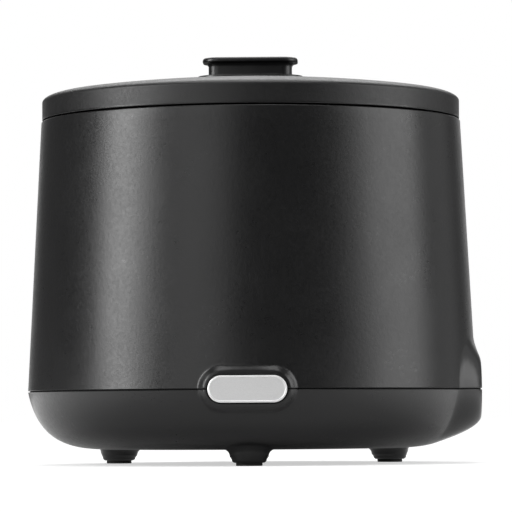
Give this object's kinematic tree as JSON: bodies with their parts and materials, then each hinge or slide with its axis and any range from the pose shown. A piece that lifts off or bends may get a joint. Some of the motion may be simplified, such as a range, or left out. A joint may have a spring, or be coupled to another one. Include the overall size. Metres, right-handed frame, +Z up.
{
  "type": "electric soup kettle",
  "caption": "Countertop soup kettle: conical housing over a bowl-like base on feet, lift-out pot in a water well, domed lid with a grip and a knob recessed in a side panel.",
  "frame": {"origin": "on the kettle's vertical axis, at the plane the feet stand on", "axes": "+Z up; the front with the bare plate faces -Y; the control panel faces +X; the cord gland faces +Y"},
  "size_m": [0.3419, 0.3429, 0.3087],
  "materials": {
    "black_plastic": "fine satin texture",
    "badge_metal": "satin",
    "black_rubber": "matt",
    "stainless": "brushed",
    "aluminium": "turned",
    "zinc": "zinc plated",
    "silicone": "matt",
    "glass_fibre": "woven",
    "pale_nylon": "moulded",
    "lamp_red": "clear gloss",
    "pointer_white": "painted",
    "brass": "drawn"
  },
  "bodies": {
    "root": {"base_shell": "black_plastic", "outer_shell": "black_plastic", "badge_plate": "badge_metal", "foot_pad_front": "black_rubber", "foot_pad_left": "black_rubber", "foot_pad_right": "black_rubber", "water_well": "stainless", "well_seal": "silicone", "well_screw_1": "stainless", "well_screw_2": "stainless", "well_screw_3": "stainless", "insulation_band": "glass_fibre", "heat_plate": "aluminium", "heating_ring": "stainless", "heat_reflector": "stainless", "clamp_stud": "zinc", "clamp_nut": "zinc", "base_washer": "zinc", "base_nut": "zinc", "thermal_cutout": "pale_nylon", "control_panel": "black_plastic", "lamp_lens": "lamp_red", "lamp_holder": "pale_nylon", "thermostat_body": "pale_nylon", "thermostat_nut": "zinc", "sensor_bulb": "brass", "bulb_clip": "zinc", "capillary_tube": "brass", "terminal_block": "pale_nylon", "cord_gland": "black_rubber", "gland_nut": "black_plastic"},
    "knob": {"knob": "black_plastic", "knob_pointer": "pointer_white", "thermostat_spindle": "zinc"},
    "pot": {"soup_pot": "stainless"},
    "lid": {"lid_shell": "black_plastic", "lid_liner": "black_plastic", "lid_seal": "silicone", "handle_plate": "black_plastic", "lid_handle": "black_plastic", "handle_screw_left": "stainless", "handle_screw_right": "stainless"}
  },
  "joints": [
    {"name": "knob_turn", "type": "hinge", "parent": "root", "child": "knob", "pos_m": [0.1573, 0, 0.05535], "axis": [-1, 0, 0], "range_deg": [0, 270]},
    {"name": "pot_lift", "type": "slide", "parent": "root", "child": "pot", "axis": [0, 0, 1], "range_m": [0, 0.25]},
    {"name": "lid_lift", "type": "slide", "parent": "pot", "child": "lid", "axis": [0, 0, 1], "range_m": [0, 0.12]}
  ]
}
